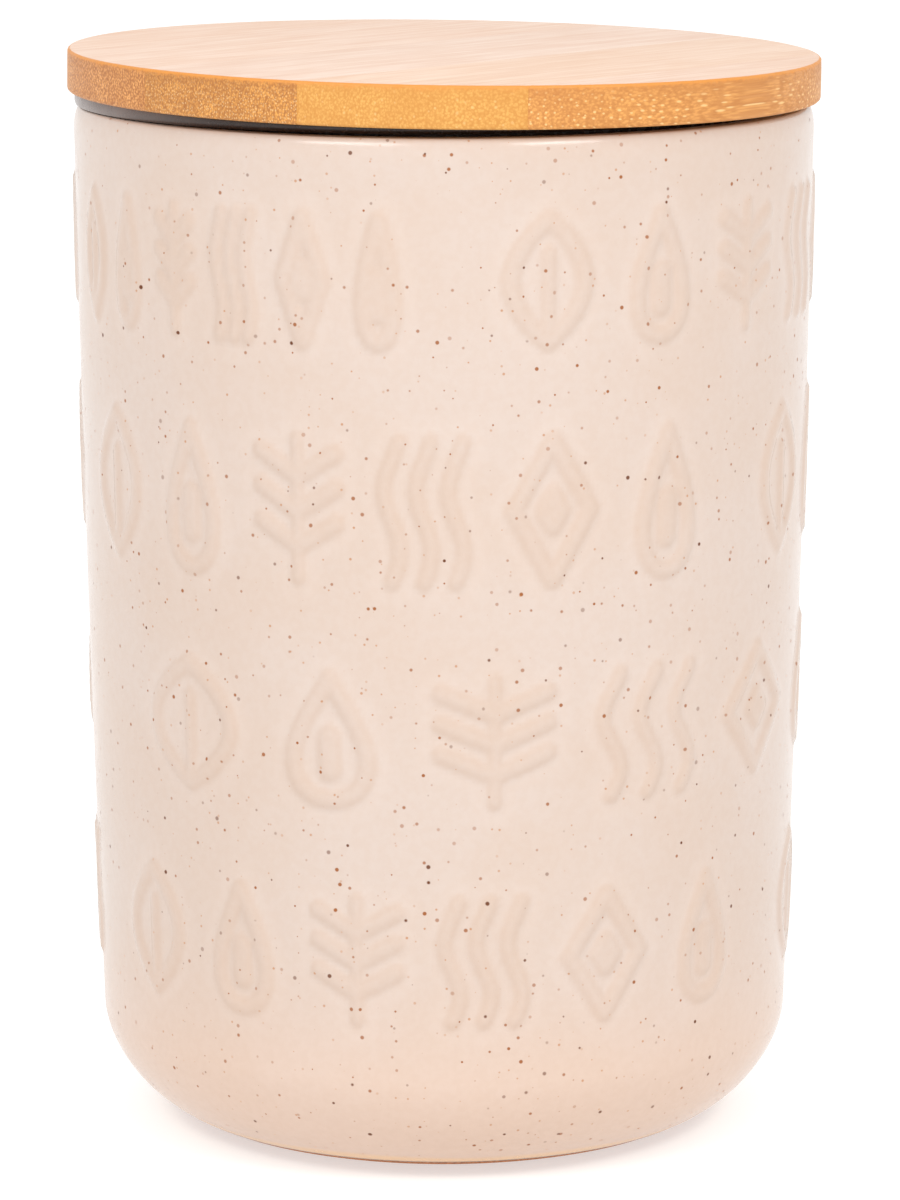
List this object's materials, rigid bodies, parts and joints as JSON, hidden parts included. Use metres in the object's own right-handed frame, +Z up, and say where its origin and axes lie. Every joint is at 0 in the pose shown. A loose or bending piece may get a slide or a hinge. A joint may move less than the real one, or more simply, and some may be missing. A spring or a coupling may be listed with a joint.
{
  "type": "kitchen canister",
  "caption": "Round speckled stoneware kitchen canister with a tapered wall, a lift-off bamboo lid and a silicone seal.",
  "frame": {"origin": "middle of the foot ring, on the surface that the canister stands on", "axes": "+Z up the canister's own axis, -Y towards the side that shows in the main view, +X to its right"},
  "size_m": [0.1051, 0.105, 0.152],
  "materials": {
    "speckled_glaze": "semi-gloss speckled stoneware glaze",
    "bamboo": "oiled laminated bamboo",
    "bamboo_plug": "plain laminated bamboo",
    "silicone": "semi-gloss grey silicone"
  },
  "bodies": {
    "canister": {"canister_body": "speckled_glaze"},
    "seal": {"silicone_seal": "silicone"},
    "lid": {"lid_strip_1": "bamboo", "lid_strip_2": "bamboo", "lid_strip_3": "bamboo", "lid_strip_4": "bamboo", "lid_strip_5": "bamboo", "plug_strip_1": "bamboo_plug", "plug_strip_2": "bamboo_plug", "plug_strip_3": "bamboo_plug", "plug_strip_4": "bamboo_plug"}
  },
  "joints": [
    {"name": "lid_lift", "type": "slide", "parent": "canister", "child": "seal", "axis": [0, 0, 1], "range_m": [0, 0.06]},
    {"name": "lid_turn", "type": "hinge", "parent": "seal", "child": "lid", "pos_m": [0, 0, 0.14545], "axis": [0.0137, 0, 0.9999], "continuous": true}
  ]
}
